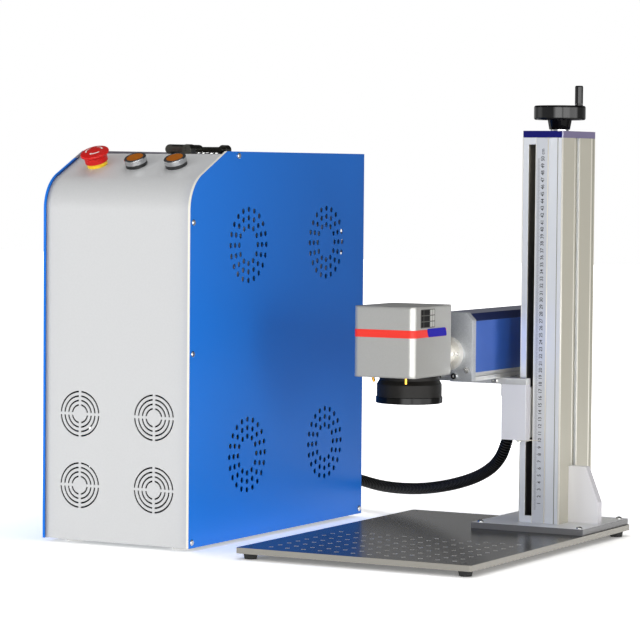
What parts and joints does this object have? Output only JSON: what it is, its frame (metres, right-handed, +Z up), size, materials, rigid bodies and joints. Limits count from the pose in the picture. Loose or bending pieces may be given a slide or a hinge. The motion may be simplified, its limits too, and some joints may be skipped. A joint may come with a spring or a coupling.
{
  "type": "laser marking machine",
  "caption": "Laser marking machine: blue and grey cabinet beside a column stand whose handwheel raises an arm with a scan head over a drilled work plate.",
  "frame": {"origin": "centre of the footprint of cabinet and stand, on the bench", "axes": "+X from the cabinet to the stand, +Y from the front to the back, +Z up"},
  "size_m": [0.6802, 0.6371, 0.6472],
  "materials": {
    "light_grey_paint": "fine texture, satin",
    "blue_paint": "satin",
    "zinc_plated_sheet": "dull",
    "zinc_plated_screws": "bright",
    "black_rubber": "matt",
    "black_fan_plastic": "matt",
    "white_case_paint": "satin",
    "green_circuit_board": "glossy",
    "yellow_winding_tape": "glossy",
    "yellow_plastic": "satin",
    "red_plastic": "satin",
    "black_plastic": "satin",
    "polished_steel": "polished",
    "amber_plastic": "glossy, translucent",
    "dark_anodised_plate": "matt black top, bare edges",
    "anodised_aluminium": "matt",
    "navy_anodised_cap": "satin",
    "ground_steel": "ground",
    "black_moulded_plastic": "satin",
    "brass": "turned",
    "red_anodised_pointer": "satin",
    "blue_anodised_tube": "satin",
    "cast_aluminium": "bead blasted",
    "silver_head_paint": "fine texture, satin",
    "red_band": "satin",
    "black_anodised_barrel": "satin",
    "coated_glass": "coated",
    "silvered_mirror": "polished",
    "black_polymer_hose": "corrugated"
  },
  "bodies": {
    "frame": {"front_wrap": "light_grey_paint", "side_panel_left": "blue_paint", "side_panel_right": "blue_paint", "rear_panel": "light_grey_paint", "base_tray": "zinc_plated_sheet", "cabinet_feet": "black_rubber", "panel_screws": "zinc_plated_screws", "fan_frames": "black_fan_plastic", "inner_shelf": "zinc_plated_sheet", "laser_source": "white_case_paint", "power_supply": "zinc_plated_sheet", "control_board": "green_circuit_board", "transformer": "yellow_winding_tape", "stop_base": "yellow_plastic", "button_bodies": "black_plastic", "button_bezels": "polished_steel", "handle_base": "black_plastic", "power_inlet": "black_plastic", "rear_gland": "black_plastic", "base_plate": "dark_anodised_plate", "plate_feet": "black_rubber", "foot_block": "anodised_aluminium", "foot_screws": "zinc_plated_screws", "column": "anodised_aluminium", "foot_gusset": "anodised_aluminium", "top_cap": "navy_anodised_cap", "guide_rods": "ground_steel", "hose": "black_polymer_hose"},
    "fan_1": {"fan_rotor_1": "black_fan_plastic"},
    "fan_2": {"fan_rotor_2": "black_fan_plastic"},
    "fan_3": {"fan_rotor_3": "black_fan_plastic"},
    "fan_4": {"fan_rotor_4": "black_fan_plastic"},
    "stop_plunger": {"stop_stem": "red_plastic"},
    "stop_mushroom": {"stop_head": "red_plastic"},
    "button_1": {"button_lens_1": "amber_plastic"},
    "button_2": {"button_lens_2": "amber_plastic"},
    "bail": {"handle_bail": "black_plastic"},
    "rocker": {"mains_rocker": "red_plastic"},
    "wheel": {"lead_screw": "ground_steel", "handwheel": "black_moulded_plastic"},
    "crank": {"crank_grip": "black_moulded_plastic"},
    "arm": {"carriage_plate": "anodised_aluminium", "slider_block": "anodised_aluminium", "lead_nut": "brass", "ruler_pointer": "red_anodised_pointer", "arm_bracket": "anodised_aluminium", "arm_rail": "anodised_aluminium", "arm_tube": "blue_anodised_tube", "arm_end_plates": "cast_aluminium", "arm_screws": "zinc_plated_screws", "arm_gland": "black_plastic", "collimator": "cast_aluminium", "head_housing": "silver_head_paint", "head_stripe": "red_band", "galvo_block": "cast_aluminium", "lens_barrel": "black_anodised_barrel", "lens_glass": "coated_glass", "focus_pointers": "brass"},
    "scan_x": {"mirror_x": "silvered_mirror"},
    "scan_y": {"mirror_y": "silvered_mirror"}
  },
  "joints": [
    {"name": "handwheel_turn", "type": "hinge", "parent": "frame", "child": "wheel", "pos_m": [0.2513, 0.15765, 0.5845], "axis": [0, 0, 1], "range_deg": [-7201, 22321]},
    {"name": "lift", "type": "slide", "parent": "frame", "child": "arm", "axis": [0, 0, 1], "range_m": [-0.1, 0.31], "deforming": ["hose"]},
    {"name": "crank_spin", "type": "hinge", "parent": "wheel", "child": "crank", "pos_m": [0.2808, 0.15765, 0.63], "axis": [0, 0, 1], "continuous": true},
    {"name": "fan_1_spin", "type": "hinge", "parent": "frame", "child": "fan_1", "pos_m": [-0.2789, -0.265, 0.082], "axis": [0, 1, 0], "continuous": true},
    {"name": "fan_2_spin", "type": "hinge", "parent": "frame", "child": "fan_2", "pos_m": [-0.1579, -0.265, 0.082], "axis": [0, 1, 0], "continuous": true},
    {"name": "fan_3_spin", "type": "hinge", "parent": "frame", "child": "fan_3", "pos_m": [-0.2789, -0.265, 0.182], "axis": [0, 1, 0], "continuous": true},
    {"name": "fan_4_spin", "type": "hinge", "parent": "frame", "child": "fan_4", "pos_m": [-0.1579, -0.265, 0.182], "axis": [0, 1, 0], "continuous": true},
    {"name": "stop_push", "type": "slide", "parent": "frame", "child": "stop_plunger", "axis": [0, 0.4384, -0.8988], "range_m": [0, 0.005]},
    {"name": "stop_twist", "type": "hinge", "parent": "stop_plunger", "child": "stop_mushroom", "pos_m": [-0.2914, -0.217, 0.52894], "axis": [0, 0.4384, -0.8988], "range_deg": [0, 45], "stiffness_Nm_per_rad": 0.02, "springref_deg": -17.19},
    {"name": "button_1_push", "type": "slide", "parent": "frame", "child": "button_1", "axis": [0, 0.4384, -0.8988], "range_m": [0, 0.003], "stiffness_N_per_m": 400, "springref_m": -0.003},
    {"name": "button_2_push", "type": "slide", "parent": "frame", "child": "button_2", "axis": [0, 0.4384, -0.8988], "range_m": [0, 0.003], "stiffness_N_per_m": 400, "springref_m": -0.003},
    {"name": "handle_fold", "type": "hinge", "parent": "frame", "child": "bail", "pos_m": [-0.2039, -0.063, 0.5524], "axis": [0, 1, 0], "range_deg": [0, 95]},
    {"name": "mains_switch", "type": "hinge", "parent": "frame", "child": "rocker", "pos_m": [-0.1479, 0.22, 0.065], "axis": [1, 0, 0], "range_deg": [0, 28]},
    {"name": "scan_x_turn", "type": "hinge", "parent": "arm", "child": "scan_x", "pos_m": [0.1621, -0.0883, 0.2693], "axis": [0, 0, 1], "range_deg": [-12, 12]},
    {"name": "scan_y_turn", "type": "hinge", "parent": "arm", "child": "scan_y", "pos_m": [0.1386, -0.0883, 0.2693], "axis": [0, 1, 0], "range_deg": [-12, 12]}
  ],
  "couplings": [
    {"joint": "handwheel_turn", "follows": "lift", "rad_per_m": 1256.6}
  ]
}
